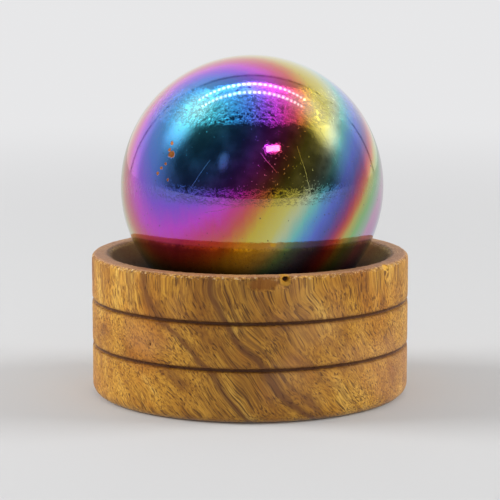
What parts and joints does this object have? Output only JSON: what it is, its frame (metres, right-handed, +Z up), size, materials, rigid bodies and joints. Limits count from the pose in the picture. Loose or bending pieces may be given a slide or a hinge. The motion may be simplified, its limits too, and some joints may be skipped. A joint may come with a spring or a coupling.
{
  "type": "gemstone sphere on a wooden stand",
  "caption": "Polished rainbow-coated gemstone ball resting in the dished hollow of a round turned wooden stand with dark grooves.",
  "frame": {"origin": "centre of the stand's flat foot, on the surface it stands on", "axes": "+Z up along the stand's turned axis; +X to the right and +Y away when the stand is seen from its front"},
  "size_m": [0.0604, 0.0604, 0.0645],
  "materials": {
    "coated_stone": "mirror polish under a rainbow metal-vapour coating, with fine scratches and specks",
    "turned_wood": "satin oiled, open grain with dark pores, two burnt grooves, chipped rim"
  },
  "bodies": {
    "root": {"gemstone_sphere": "coated_stone", "wooden_stand": "turned_wood"}
  },
  "joints": []
}
